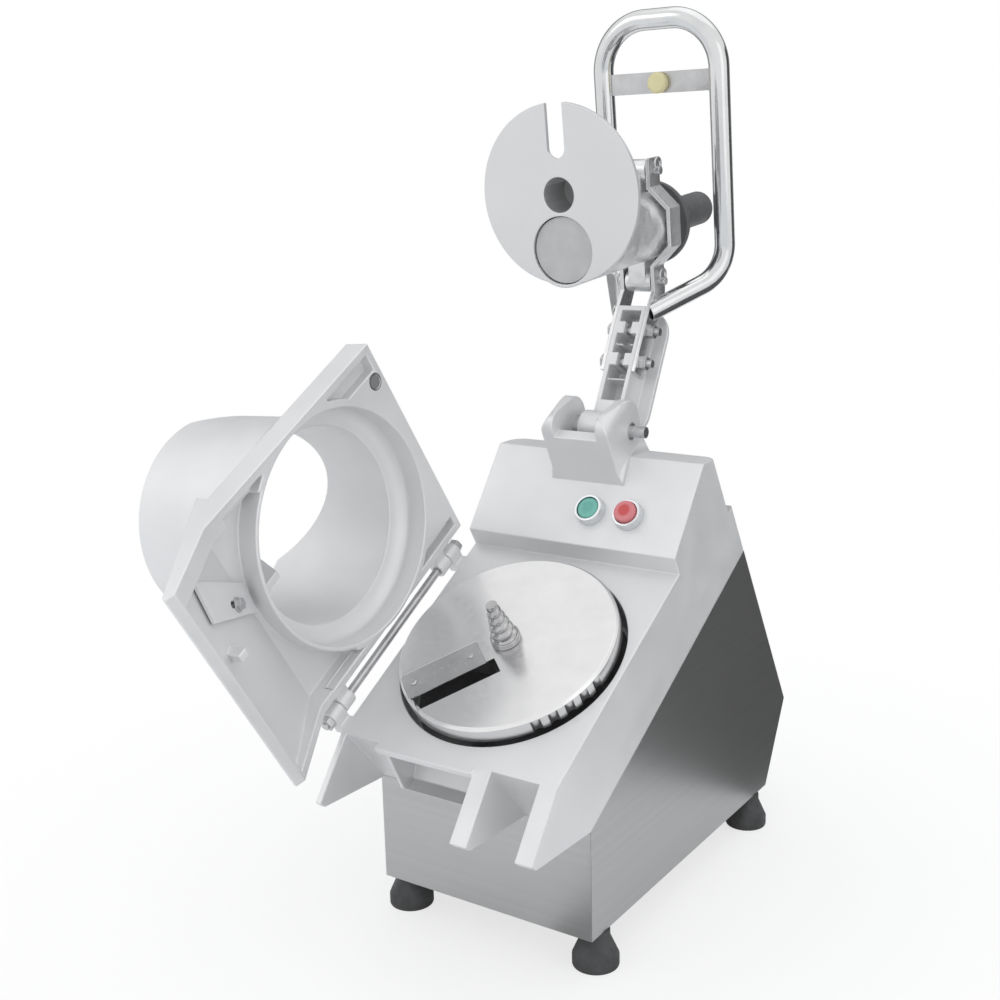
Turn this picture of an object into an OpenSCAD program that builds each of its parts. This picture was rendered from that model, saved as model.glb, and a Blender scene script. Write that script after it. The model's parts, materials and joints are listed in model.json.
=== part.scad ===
// Bench-top vegetable cutting machine: sloped cabinet, cast deck, hinged hopper and lever pusher.
// Millimetres, +Z up, origin on the floor at the centre of the four feet, hopper open, lever up.

/* [Stand] */
// Foot centres inside the cabinet's sides
foot_side = 10.8; // [5:0.2:25]
// Distance between foot centres front to back
foot_span_y = 316; // [280:1:325]
// Radius of the round foot pad
foot_r = 21; // [16:0.5:26]
// Height of a foot
foot_h = 35; // [25:1:50]

/* [Cabinet] */
// Cabinet and casting past the disc's rim, on each side
side_margin = 10.3; // [9.8:0.1:20]
// Height of the front panel
front_h = 103; // [90:1:140]
// Length of the sloped top edge
deck_run = 347; // [335:1:370]
// Slope of the deck in degrees
deck_tilt = 30; // [25:1:35]
// Height of the upper back panel, square to the deck
back_h = 222; // [200:1:240]
// Front foot centre behind the front panel
foot_inset = 24; // [22:1:30]
// Cabinet's rear bottom edge behind the rear foot centres
rear_inset = 26; // [20:1:40]
// Thickness of the sheet metal
sheet = 2; // [1:0.5:3]

/* [Deck casting] */
// Height of the casting's side skirts
casting_h = 79; // [74:1:90]
// Wall of the casting
casting_wall = 6; // [4:0.5:8]
// Cabinet's top front edge before the disc's rim, along the deck
front_margin = 6.5; // [2.5:0.5:12.5]
// Forward lean of the casting's front wall
front_lean = 15; // [10:1:20]
// Depth of the round well below the deck
well_depth = 45; // [40:1:50]
// Gap round the disc in the well
well_gap = 4; // [3:0.5:6]
// Width of the discharge mouth
mouth_w = 103; // [80:1:105]
// Sideways place of the discharge mouth's centre
mouth_x = -19.5; // [-22:0.5:-10]
// Reach of the front lugs past the casting's front edge
lug_reach = 60; // [50:1:70]
// Drop of the lugs' top edge over that reach
lug_drop = 25.5; // [20:0.5:30]
// Width of the middle lug
lug_w = 17; // [12:1:20]
// Thickness of the left wing
wing_w = 6; // [4:0.5:8]

/* [Head and bracket] */
// Gap between the hopper's rear edge and the head
step_gap = 1.3; // [0.6:0.1:3]
// Height of the step at the foot of the button face
step_h = 19.4; // [15:0.2:25]
// Length of the button face up its slope
face_len = 95.4; // [85:0.2:100]
// Slope of the button face against the deck
face_tilt = 23; // [18:1:28]
// Outer width of the lever bracket
bracket_w = 72; // [68:1:90]
// Thickness of a bracket ear
ear_w = 13; // [9:1:15]
// Lever pivot behind the disc axis, along the deck
pivot_t = 226; // [224:1:230]
// Lever pivot above the disc's top face
pivot_n = 58; // [56:1:62]
// Radius of the lever's pivot pin
pivot_r = 8; // [6:0.5:9]

/* [Disc and drive] */
// Radius of the cutting disc
disc_r = 102.5; // [98:0.5:103]
// Disc top face above the deck
disc_proud = 16.5; // [14:0.5:18]
// Depth of the disc's rim
disc_rim = 15.5; // [10:0.5:18]
// Thickness of the disc plate
disc_t = 3; // [2:0.5:5]
// Turn of the blade slot on the disc in degrees
slot_turn = 48; // [0:1:359]
// Width of the blade slot
slot_w = 18.7; // [12:0.1:22]
// Width of the blade
blade_w = 29; // [20:1:32]
// Height of the spiral hub screw
screw_h = 45; // [35:1:48]
// Radius at the foot of the hub screw
screw_r = 14; // [12:0.5:14.5]
// Radius of the drive shaft
shaft_r = 10; // [8:0.5:11]
// Radius of the large pulley
pulley_r = 72; // [60:1:75]
// Radius of the motor pulley
pinion_r = 20; // [16:1:24]
// Motor axis behind the drive shaft
motor_run = 122; // [112:1:130]
// Radius of the motor
motor_r = 60; // [50:1:64]
// Length of the motor
motor_len = 132; // [110:1:140]

/* [Hopper] */
// Opening angle of the hopper at rest
hopper_open = 94.5; // [80:0.5:100]
// Hinge axis outside the casting's left side
hinge_out = 12.2; // [10.5:0.1:16]
// Radius of the hinge rod
hinge_r = 4; // [3:0.5:5]
// Outer radius of the hinge knuckles
knuckle_r = 8; // [6.5:0.5:9]
// Inner radius of the feed tube
tube_r = 90; // [88:0.5:92]
// Wall of the feed tube
tube_wall = 7; // [4:0.5:8]
// Top of the feed tube above the disc's top face
mouth_n = 152; // [135:1:165]
// Height of the flange on the deck
flange_h = 26; // [22:1:30]
// Reach of the hood past the flange's front edge
hood_reach = 88; // [80:1:95]
// Width of the thick right side bar
bar_w = 17.5; // [14:0.5:17.5]

/* [Lever and pusher] */
// Lift of the lever at rest in degrees
lever_lift = 114; // [100:1:118]
// Slope of the lever beam against the pusher plate
beam_tilt = 34; // [30:1:36]
// Width of the lever beam
beam_w = 30; // [26:1:32]
// Length of the lever beam
beam_len = 130; // [128:1:138]
// Radius of the pusher plate
plate_r = 79.5; // [74:0.5:82]
// Thickness of the pusher plate
plate_t = 5; // [4:0.5:8]
// Pusher plate above the disc when the lever is down
pusher_gap = 14; // [10:1:18]
// Width of the slot in the pusher plate
plate_slot = 17.7; // [14:0.1:20]
// Inner radius of the plunger sleeve
sleeve_r = 30.5; // [26:0.5:31]
// Wall of the plunger sleeve
sleeve_wall = 3; // [2:0.5:3.5]
// Sleeve axis behind the plate's centre
sleeve_back = 49; // [48:0.5:50]
// Thickness of the two straps
strap_t = 4; // [3:0.5:5]
// Width of the two straps
strap_w = 22; // [18:1:24]

/* [Handle and plunger] */
// Outer radius of the handle tube
handle_r = 10; // [8:0.5:12]
// Wall of the handle tube
handle_wall = 2; // [1:0.5:3]
// Distance between the handle's legs
handle_w = 126; // [110:1:140]
// Handle bow before the pivot, along the lever
handle_p = 367; // [350:1:380]
// Handle plane above the pivot
handle_q = 158; // [145:1:170]
// Radius of the plunger's grip
grip_r = 17; // [14:0.5:20]
// Length of the plunger's grip
grip_len = 102; // [60:1:120]

/* [Controls] */
// Radius of a button cap
button_r = 10.6; // [8:0.2:11]
// Radius of a button's bezel
bezel_r = 14.8; // [13:0.2:17]
// Distance between the two buttons
button_gap = 40.6; // [34:0.2:50]
// Start button right of the middle plane
button_x = 14.3; // [5:0.1:25]
// Buttons above the foot of the button face
button_up = 35; // [28:1:45]
// Travel of a button
button_travel = 3; // [2:0.5:3.5]

/* [Fits] */
// Running clearance of pins and shafts, on the radius
run_fit = 0.05; // [0.02:0.01:0.1]
// Gap between faces that move past each other
move_gap = 0.4; // [0.3:0.1:0.8]

/* [Hidden] */
$fn = 64;

eps = 0.01;
far = 900;

// Frame of the cabinet
half_w = disc_r + side_margin;
foot_span_x = 2 * (half_w - foot_side);
axis_run = disc_r + front_margin;
front_y = -foot_span_y / 2 - foot_inset;
edge_z = foot_h + front_h;
run_y = cos(deck_tilt);
run_z = sin(deck_tilt);
corner_b = [front_y, edge_z];
corner_c = corner_b + deck_run * [run_y, run_z];
corner_d = corner_c + back_h * [run_z, -run_y];
corner_e = [foot_span_y / 2 + rear_inset, foot_h];

// Deck frame: x right, t up the slope, n square to the deck, origin on the disc's top face
surf = -disc_proud;
skirt_n = surf - casting_h;
back_t = deck_run - axis_run;
front_t = -axis_run - front_lean;
deck_y = front_y + axis_run * run_y + skirt_n * run_z;
deck_z = edge_z + axis_run * run_z - skirt_n * run_y;
well_r = disc_r + well_gap;
well_floor = surf - well_depth;
cup_wall = 4.2;

// Hopper in its closed place
seat = surf + move_gap;
flange_top = seat + flange_h;
flange_right = half_w - 0.3;
flange_left = half_w - 3.8;
flange_back = disc_r + 19;
flange_front = disc_r + 9.5;
hinge_x = half_w + hinge_out;
hinge_n = seat + knuckle_r - 0.6;
chamber_r = disc_r + 4.5;
chamber_wall = 4;
chamber_top = 2;
tube_foot = 14;
tube_ro = tube_r + tube_wall;
hood_wall = 5;
hood_side = 9;
hood_tip = -flange_front - hood_reach;
lug_top = [front_t, surf];
lug_tip = lug_top + [-lug_reach, -lug_drop];
lug_slope = lug_drop / lug_reach;
hood_crest = flange_top + 14;
hood_back = 12.5 - disc_r;
hood_low = -36;
roof_slope = (hood_crest - hood_low) / (hood_back - hood_tip);
hinge_len = 16;
hinge_hi = flange_back - 49.5;
hinge_lo = 8 - flange_front;

// Head
step_t = flange_back + step_gap;
step_top = surf + step_h;
face_top = [step_t + face_len * cos(face_tilt), step_top + face_len * sin(face_tilt)];
head_back = [back_t, face_top[1] - (back_t - face_top[0]) * tan(deck_tilt)];
ear_in = bracket_w / 2 - ear_w;
ear_front = pivot_t - 40;
ear_top = pivot_n + 38;

// Lever in its lowered place: p runs from the pivot to the front, q up from the pivot
plate_q = pusher_gap - pivot_n;
plate_p = pivot_t;
sleeve_p = plate_p - sleeve_back;
sleeve_ro = sleeve_r + sleeve_wall;
sleeve_top = 122;
beam_front = 7.7;
beam_depth = 30;
back_plate_t = 5;
back_plate_w = 58;
beam_floor = beam_front + 25;
lever_bolt_r = 4;
lever_bolt_u = [74.4, 107.4];
lever_bolt_v = beam_front + 10;
strap_in = beam_w / 2;
strap_q = 90;
strap_bulge = sleeve_ro + 1.5;
pin_r = 4;
pin_reach = 53;
pin_q = strap_q + strap_w / 2;
pocket_r = screw_r + 1.5;

// Drive below the well
boss_r = 32;
bearing_ro = 23.5;
bearing_t = 14;
boss_foot = well_floor - 56;
pulley_t = 20;
pulley_n = boss_foot - 2 - pulley_t;
plate_n = pulley_n - 10;
motor_plate_t = 6;
post_side = 16;
post_rear = 33;
post_x = half_w - post_side;
post_t = [100, back_t - post_rear];
post_r = 7;
motor_shaft_r = 7;

function uv(u, v) = [u * cos(beam_tilt) - v * sin(beam_tilt), u * sin(beam_tilt) + v * cos(beam_tilt)];
function arc(c, r, a0, a1, steps = 10) =
    [for (i = [0 : steps]) let (a = a0 + (a1 - a0) * i / steps) c + r * [cos(a), sin(a)]];
function cross_lines(p, u, q, v) =
    p + u * ((q[0] - p[0]) * v[1] - (q[1] - p[1]) * v[0]) / (u[0] * v[1] - u[1] * v[0]);
function face_n(t) = step_top + (t - step_t) * tan(face_tilt);
function hood_under(t) = seat - lug_slope * max(0, lug_top[0] - t);
function hood_roof(t) = hood_crest - roof_slope * (hood_back - t);

module prism(points, x0, x1) {
    translate([x0, 0, 0])
        rotate([90, 0, 90])
            linear_extrude(x1 - x0) polygon(points);
}
module box(low, high) {
    translate(low) cube(high - low);
}
module rod_x(r, x0, x1) {
    translate([x0, 0, 0]) rotate([0, 90, 0]) cylinder(r = r, h = x1 - x0);
}
module rod_t(r, t0, t1) {
    translate([0, t0, 0]) rotate([-90, 0, 0]) cylinder(r = r, h = t1 - t0);
}
module hex_x(r, x0, x1) {
    translate([x0, 0, 0]) rotate([0, 90, 0]) cylinder(r = r, h = x1 - x0, $fn = 6);
}
module on_deck() {
    translate([0, deck_y, deck_z]) rotate([deck_tilt, 0, 0]) children();
}
module on_face() {
    on_deck() translate([0, step_t, step_top]) rotate([face_tilt, 0, 0]) children();
}
module on_hopper() {
    on_deck()
        translate([-hinge_x, 0, hinge_n])
            rotate([0, -hopper_open, 0])
                translate([hinge_x, 0, -hinge_n]) children();
}
module on_lever() {
    on_deck() translate([0, pivot_t, pivot_n]) rotate([-lever_lift, 0, 0]) children();
}
module on_beam() {
    on_lever() rotate([-beam_tilt, 0, 0]) children();
}
module lever_prism(points, x0, x1) {
    prism([for (p = points) [-p[0], p[1]]], x0, x1);
}
module both_sides() {
    children();
    mirror([1, 0, 0]) children();
}
module at_feet() {
    for (x = [-1, 1], y = [-1, 1])
        translate([x * foot_span_x / 2, y * foot_span_y / 2, 0]) children();
}
module at_posts() {
    for (x = [-post_x, post_x], t = post_t)
        translate([x, t, 0]) children();
}

// Front and side panels, bent from one sheet and open at the back
module cabinet() {
    color("gray")
        difference() {
            prism([[front_y, foot_h], corner_b, corner_c, corner_d, corner_e], -half_w, half_w);
            box([sheet - half_w, front_y + sheet, -far], [half_w - sheet, far, far]);
        }
}

// Two-facet back cover between the side panels
drop = [run_z, -run_y];
lower = corner_e - corner_d;
lower_in = [-lower[1], lower[0]] / norm(lower) * -sheet;
cover_c = corner_c - sheet * [run_y, run_z];
cover_d = cross_lines(cover_c, drop, corner_d + lower_in, lower);
cover_e = cross_lines(cover_d, lower, corner_e, [1, 0]);
gland_n = skirt_n - back_h * 0.8;
gland_x = 60;
gland_r = 8;
module rear_cover() {
    color("gray")
        difference() {
            prism([corner_c, corner_d, corner_e, cover_e, cover_d, cover_c], sheet - half_w, half_w - sheet);
            on_deck() translate([gland_x, 0, gland_n]) rod_t(gland_r, 0, back_t + far);
            at_rear_screws() rod_t(2.1, -far, far);
        }
}
module at_rear_screws() {
    on_deck()
        for (x = [-1, 1], n = [skirt_n - 20, skirt_n - back_h + 30])
            translate([x * (half_w - 25), back_t, n]) children();
}
module rear_screws() {
    color("silver")
        at_rear_screws() {
            rod_t(2, -8, 0);
            rod_t(4, 0, 2.4);
        }
}
module cable_gland() {
    color("dimgray")
        on_deck()
            translate([gland_x, back_t, gland_n]) {
                difference() {
                    union() {
                        rod_t(gland_r, -sheet - 12, 0);
                        rotate([-90, 0, 0]) cylinder(r = 13, h = 6, $fn = 6);
                        rod_t(10, 6, 16);
                        translate([0, 16, 0]) rotate([-90, 0, 0]) cylinder(r1 = 10, r2 = 7, h = 6);
                    }
                    rod_t(4.5, -far, far);
                }
                rotate([90, 0, 0]) translate([0, 0, sheet]) difference() {
                    cylinder(r = 12, h = 5, $fn = 6);
                    cylinder(r = gland_r, h = 20, center = true);
                }
            }
}

// Floor of the cabinet, between the panels
foot_bolt_r = 3;
module base_plate() {
    color("gray")
        difference() {
            box([sheet - half_w, front_y + sheet, foot_h],
                [half_w - sheet, cover_e[0] - 2 * sheet, foot_h + sheet]);
            at_feet() cylinder(r = foot_bolt_r, h = far, center = true);
        }
}

// Turned rubber feet, each with a stud moulded in and a nut on the base plate
foot_pad = 10;
foot_neck = foot_r * 0.62;
foot_sink = 12;
module feet() {
    color("#2b2b2b")
        at_feet()
            rotate_extrude()
                polygon([[0, 0], [foot_r, 0], [foot_r, foot_pad], [foot_neck, foot_h - 7],
                    [foot_neck, foot_h], [foot_bolt_r, foot_h], [foot_bolt_r, foot_sink], [0, foot_sink]]);
}
module foot_bolts() {
    color("silver")
        at_feet() {
            translate([0, 0, foot_sink]) cylinder(r = foot_bolt_r, h = foot_h - foot_sink + sheet + 8);
            translate([0, 0, foot_h + sheet]) cylinder(r = 5.8, h = 5, $fn = 6);
        }
}

// Cast deck with the well, the discharge chute, the head and the lever bracket
shell_out = [[-axis_run, skirt_n], [front_t, surf], [step_t, surf], [step_t, step_top], face_top, head_back,
    [back_t, skirt_n]];
shell_in = [[casting_wall - axis_run, skirt_n - far], [casting_wall - axis_run, skirt_n],
    [front_t + casting_wall, surf - casting_wall],
    [step_t + casting_wall, surf - casting_wall], [step_t + casting_wall, step_top - casting_wall],
    face_top + casting_wall * [0.3, -1.1], head_back + casting_wall * [-1, -1.2],
    [back_t - casting_wall, skirt_n - far]];
mouth_lo = mouth_x - mouth_w / 2;
mouth_hi = mouth_x + mouth_w / 2;
mouth_roof = surf - 8;
chute_back = -well_r * 0.6;
chute_out = [[chute_back, mouth_roof + 2], [chute_back, well_floor - cup_wall],
    [-axis_run + 30, well_floor - cup_wall], [-axis_run, skirt_n], [-axis_run - 8, skirt_n + 2],
    [front_t, skirt_n + 12], [front_t + 4, mouth_roof + 2]];
chute_in = [[chute_back - 1, mouth_roof], [chute_back - 1, well_floor], [-axis_run + 28, well_floor],
    [-axis_run, skirt_n + 9], [-axis_run - 12, skirt_n + 10], [lug_tip[0] - 20, skirt_n + 30],
    [lug_tip[0] - 20, mouth_roof]];
lug_shape = [[-axis_run, skirt_n], [-axis_run, surf - casting_wall], lug_top, lug_tip, lug_tip + [3, -8]];
lug_mid_x = mouth_hi;
lug_right_x = half_w - lug_w;
head_round = 14;
ear_root = casting_wall / 2;
ear_round = 14;
ear_wall = 12;
ear_flare = 8;
ear_shape = concat([[ear_front - 4, face_n(ear_front - 4) - ear_root]],
    arc([ear_front + ear_round, ear_top - ear_round], ear_round, 180, 80, 8),
    arc([pivot_t, pivot_n + 12], 20, 80, -12, 8),
    [head_back + [-1, -ear_root], face_top + [0, -ear_root]]);
ear_face = concat([[-bracket_w / 2 - ear_flare, skirt_n], [-bracket_w / 2 - ear_flare, ear_top - 85],
    [-bracket_w / 2, ear_top - 55]],
    arc([ear_round - bracket_w / 2, ear_top - ear_round], ear_round, 180, 90, 8),
    arc([bracket_w / 2 - ear_round, ear_top - ear_round], ear_round, 90, 0, 8),
    [[bracket_w / 2, ear_top - 55], [bracket_w / 2 + ear_flare, ear_top - 85],
    [bracket_w / 2 + ear_flare, skirt_n]]);
module top_casting() {
    color("lightgray")
        on_deck()
            difference() {
                union() {
                    difference() {
                        prism(shell_out, -half_w, half_w);
                        prism(shell_in, casting_wall - half_w, half_w - casting_wall);
                    }
                    translate([0, 0, well_floor - cup_wall])
                        cylinder(r = well_r + cup_wall, h = surf - well_floor);
                    translate([0, 0, boss_foot]) cylinder(r = boss_r, h = well_floor - boss_foot);
                    prism(chute_out, mouth_lo - cup_wall, mouth_hi + cup_wall);
                    prism(lug_shape, lug_mid_x, lug_mid_x + lug_w);
                    prism(lug_shape, lug_right_x, half_w);
                    prism(lug_shape, -half_w, wing_w - half_w);
                    box([mouth_lo, front_t - 7, mouth_roof], [mouth_hi, front_t + casting_wall, surf]);
                    bracket();
                    at_posts() translate([0, 0, skirt_n]) cylinder(r = 11, h = 50);
                    deck_knuckle(hinge_hi + hinge_len + move_gap);
                    deck_knuckle(hinge_lo - hinge_len - move_gap);
                }
                translate([0, 0, well_floor]) cylinder(r = well_r, h = far);
                prism(chute_in, mouth_lo, mouth_hi);
                translate([0, 0, boss_foot - 1]) cylinder(r = bearing_ro, h = well_floor - boss_foot - 8);
                cylinder(r = seal_r, h = far, center = true);
                translate([0, pivot_t, pivot_n]) rod_x(pivot_r + run_fit, -far, far);
                translate([-hinge_x, 0, hinge_n]) rod_t(hinge_r + run_fit, -far, far);
                translate([0, step_t, step_top]) rotate([face_tilt, 0, 0])
                    at_buttons() cylinder(r = bezel_neck, h = 60, center = true);
                at_posts() translate([0, 0, skirt_n - 1]) cylinder(r = 3, h = 21);
                both_sides() head_corner();
            }
}
module head_corner() {
    translate([half_w - head_round, back_t - head_round, surf - 20])
        difference() {
            cube([far, far, far]);
            cylinder(r = head_round, h = 3 * far, center = true);
        }
}
module bracket() {
    difference() {
        intersection() {
            prism(ear_shape, -bracket_w, bracket_w);
            translate([0, far, 0]) rotate([90, 0, 0]) linear_extrude(2 * far) polygon(ear_face);
        }
        box([-ear_in, ear_front + ear_wall, face_n(ear_front)], [ear_in, far, far]);
        box([-ear_in, -far, ear_top - 18], [ear_in, far, far]);
    }
}
module deck_knuckle(t0) {
    translate([-hinge_x, 0, hinge_n]) rod_t(knuckle_r, t0, t0 + hinge_len);
    box([-hinge_x, t0, surf - 8], [-half_w + 1, t0 + hinge_len, surf]);
    box([-hinge_x, t0, surf - 8], [-hinge_x + knuckle_r, t0 + hinge_len, hinge_n]);
}

// Lever pivot: pin with a slim right end, nut on the left and two spacer bushes
pin_end_r = 5.5;
pin_end = 15;
pin_nut = 9;
module pivot_pin() {
    color("silver")
        on_deck() translate([0, pivot_t, pivot_n]) {
            rod_x(pivot_r, -bracket_w / 2 - pin_nut - 3, bracket_w / 2);
            rod_x(pin_end_r, 0, bracket_w / 2 + pin_end);
        }
}
module pivot_nut() {
    color("silver")
        on_deck() translate([0, pivot_t, pivot_n])
            difference() {
                hex_x(pivot_r * 1.6, -bracket_w / 2 - pin_nut, -bracket_w / 2);
                rod_x(pivot_r, -far, far);
            }
}
module pivot_spacers() {
    color("silver")
        on_deck() translate([0, pivot_t, pivot_n])
            both_sides()
                difference() {
                    rod_x(pivot_r + 3.5, beam_w / 2 + move_gap, ear_in);
                    rod_x(pivot_r, -far, far);
                }
}

// Hopper hinge: one long rod with a nut at each end
hinge_top = hinge_hi + 2 * hinge_len + move_gap;
hinge_foot = hinge_lo - hinge_len - move_gap;
module hinge_rod() {
    color("silver")
        on_deck() translate([-hinge_x, 0, hinge_n]) rod_t(hinge_r, hinge_foot - 8, hinge_top + 8);
}
module hinge_nuts() {
    color("silver")
        on_deck() translate([-hinge_x, 0, hinge_n])
            for (t = [hinge_foot - 6, hinge_top])
                translate([0, t, 0]) rotate([-90, 0, 0])
                    difference() {
                        cylinder(r = hinge_r * 1.8, h = 6, $fn = 6);
                        cylinder(r = hinge_r, h = far, center = true);
                    }
}

// Push buttons on the head: bezels, contact blocks and caps
bezel_h = 9;
bezel_neck = 11;
stem_r = 6;
module at_buttons() {
    for (i = [0, 1])
        translate([button_x + i * button_gap, button_up, 0]) children();
}
module button_bezels() {
    color("silver")
        on_face() at_buttons()
            rotate_extrude()
                polygon([[stem_r + move_gap, -25], [bezel_neck, -25], [bezel_neck, 0], [bezel_r, 0],
                    [bezel_r - 1, bezel_h], [button_r + move_gap, bezel_h], [button_r + move_gap, 0.6],
                    [stem_r + move_gap, 0.6]]);
}
module contact_blocks() {
    color("dimgray")
        on_face() at_buttons()
            difference() {
                box([-14, -16, -52], [14, 16, -casting_wall - 4]);
                translate([0, 0, -25]) cylinder(r = bezel_neck, h = 60);
                translate([0, 0, -30]) cylinder(r = stem_r + move_gap, h = 60);
            }
}
module button_cap(i, top) {
    on_face() translate([button_x + i * button_gap, button_up, 0])
        rotate_extrude()
            polygon([[0, -18], [stem_r, -18], [stem_r, 0.6 + button_travel + move_gap],
                [button_r, 0.6 + button_travel + move_gap], [button_r, top - 1],
                [button_r - 1, top], [0, top]]);
}
module start_button() {
    color("mediumaquamarine") button_cap(0, bezel_h - 0.6);
}
module stop_button() {
    color("indianred") button_cap(1, bezel_h + 4);
}

// Safety switch under the deck, below the hopper's magnet
magnet_x = half_w - 33.8;
magnet_t = flange_back - 13;
magnet_r = 6.5;
magnet_h = 8;
module reed_switch() {
    color("dimgray")
        on_deck()
            box([magnet_x - 9, magnet_t - 10, surf - casting_wall - 12],
                [magnet_x + 9, magnet_t + 10, surf - casting_wall]);
}

// Shaft bearings and seal in the casting's boss
seal_r = shaft_r + 6;
module bearings() {
    color("silver")
        on_deck()
            for (n = [boss_foot + 4, well_floor - 9 - bearing_t])
                translate([0, 0, n])
                    rotate_extrude()
                        polygon([[shaft_r + run_fit, 0], [shaft_r + 4, 0], [shaft_r + 4, 1],
                            [bearing_ro - 3, 1],
                            [bearing_ro - 3, 0], [bearing_ro, 0], [bearing_ro, bearing_t],
                            [bearing_ro - 3, bearing_t], [bearing_ro - 3, bearing_t - 1],
                            [shaft_r + 4, bearing_t - 1], [shaft_r + 4, bearing_t],
                            [shaft_r + run_fit, bearing_t]]);
}
module shaft_seal() {
    color("#2b2b2b")
        on_deck() translate([0, 0, well_floor - 8])
            difference() {
                cylinder(r = seal_r, h = 7);
                cylinder(r = shaft_r + run_fit, h = far, center = true);
            }
}
module drive_shaft() {
    color("silver")
        on_deck() translate([0, 0, pulley_n - 3]) cylinder(r = shaft_r, h = -disc_t - pulley_n + 3);
}

// Ribbed belt drive
groove = 3;
ribs = 6;
rib_step = pulley_t / (ribs + 1.3);
function rib_line(r) =
    [for (i = [0 : ribs])
        each [[r, (i + 0.3) * rib_step], [r - (i < ribs ? groove : 0), (i + 0.8) * rib_step]]];
module large_pulley() {
    color("gray")
        on_deck() translate([0, 0, pulley_n])
            difference() {
                rotate_extrude()
                    polygon(concat([[shaft_r, 0], [shaft_r + 12, 0], [shaft_r + 12, 7], [pulley_r - 10, 7],
                        [pulley_r - 10, 0], [pulley_r, 0]], rib_line(pulley_r), [[pulley_r, pulley_t],
                        [pulley_r - 10, pulley_t], [pulley_r - 10, 13], [shaft_r + 12, 13],
                        [shaft_r + 12, pulley_t], [shaft_r, pulley_t]]));
                for (a = [0 : 60 : 300])
                    rotate(a) translate([(pulley_r + shaft_r + 2) / 2, 0, 0])
                        cylinder(r = 10, h = far, center = true);
            }
}
module motor_pulley() {
    color("gray")
        on_deck() translate([0, motor_run, pulley_n]) {
            rotate_extrude()
                polygon(concat([[0, 0], [pinion_r, 0]], rib_line(pinion_r),
                    [[pinion_r, pulley_t], [0, pulley_t]]));
            translate([0, 0, plate_n - pulley_n - 2]) cylinder(r = motor_shaft_r, h = pulley_n - plate_n + 2);
        }
}
belt_t = 3.5;
belt_gap = 0.3;
function belt_line(out) =
    let (big = pulley_r + out, small = pinion_r + out, lean = asin((big - small) / motor_run))
    concat(arc([0, 0], big, 180 - lean, 360 + lean, 40), arc([0, motor_run], small, lean, 180 - lean, 20));
module drive_belt() {
    color("#2b2b2b")
        on_deck() translate([0, 0, pulley_n + 1])
            linear_extrude(pulley_t - 2)
                difference() {
                    polygon(belt_line(belt_gap + belt_t));
                    polygon(belt_line(belt_gap));
                }
}
fin_rings = 9;
fin_step = (motor_len - 40) / fin_rings;
fin_deep = 5;
motor_side = concat([[0, 0], [0, -motor_len], [motor_r, -motor_len], [motor_r, 26 - motor_len]],
    [for (i = [1 : fin_rings - 1]) let (z = 26 - motor_len + i * fin_step)
        each [[motor_r - fin_deep, z - 3], [motor_r - fin_deep, z], [motor_r - 1, z], [motor_r - 1, z + 2]]],
    [[motor_r, -14], [motor_r, 0]]);
module motor() {
    color("slategray")
        on_deck() translate([0, motor_run, plate_n - motor_plate_t])
            difference() {
                union() {
                    rotate_extrude() polygon(motor_side);
                    box([-24, motor_r - 16, -70], [24, motor_r + 12, -25]);
                }
                translate([0, 0, -3]) cylinder(r = motor_shaft_r + 3, h = far);
            }
}
module motor_plate() {
    color("gray")
        on_deck()
            difference() {
                box([-post_x - 9, post_t[0] - 10, plate_n - motor_plate_t],
                    [post_x + 9, post_t[1] + 10, plate_n]);
                translate([0, motor_run, 0]) cylinder(r = motor_shaft_r + 3, h = far, center = true);
                at_posts() cylinder(r = 3, h = far, center = true);
            }
}
module motor_posts() {
    color("silver")
        on_deck() at_posts() {
            translate([0, 0, plate_n]) cylinder(r = post_r, h = skirt_n - plate_n);
            translate([0, 0, skirt_n]) cylinder(r = 3, h = 15);
            translate([0, 0, plate_n - motor_plate_t]) cylinder(r = 3, h = motor_plate_t);
            translate([0, 0, plate_n - motor_plate_t - 5]) cylinder(r = 6, h = 5, $fn = 6);
        }
}

// Ejector under the disc: plate, hub and curved sweeping vanes
ejector_r = disc_r - 1;
ejector_n = well_floor + 3;
vane_h = 22;
module ejector() {
    color("gainsboro")
        on_deck()
            difference() {
                union() {
                    translate([0, 0, ejector_n]) cylinder(r = ejector_r, h = 4);
                    translate([0, 0, ejector_n]) cylinder(r = shaft_r + 10, h = -disc_rim - 4 - ejector_n);
                    for (a = [0 : 90 : 270])
                        rotate(a)
                            box([shaft_r + 4, -2.5, ejector_n], [ejector_r - 2, 2.5, ejector_n + vane_h]);
                }
                cylinder(r = shaft_r, h = far, center = true);
            }
}

// Slicing disc: plate with a deep rim, a blade slot and finger scallops in the rim
slot_y = -14.3;
slot_x = -17;
scallops = 5;
disc_edge = 2.5;
module on_disc() {
    on_deck() rotate(slot_turn) children();
}
module cutting_disc() {
    color("whitesmoke")
        on_disc()
            difference() {
                union() {
                    rotate_extrude()
                        polygon([[shaft_r, -disc_t], [disc_r - 5, -disc_t], [disc_r - 4, -disc_rim],
                            [disc_r, -disc_rim], [disc_r, -disc_edge], [disc_r - disc_edge, 0],
                            [shaft_r, 0]]);
                    translate([0, 0, -disc_rim - 4])
                        cylinder(r = shaft_r + 10, h = disc_rim + 4 - disc_t + eps);
                }
                cylinder(r = shaft_r, h = far, center = true);
                box([-disc_r + 6, slot_y - slot_w, -disc_t - 1], [slot_x, slot_y, 1]);
                box([-disc_r + 3, slot_y, -1], [slot_x - 8, slot_y + blade_w + 0.5, 1]);
                for (i = [0 : scallops - 1])
                    rotate(-95 + i * 9) translate([disc_r + 3, 0, -disc_rim - 1])
                        cylinder(r = 5.5, h = disc_rim - 2);
                at_blade_screws() cylinder(r = blade_screw_r, h = 20, center = true);
            }
}
blade_screw_r = 2;
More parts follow.
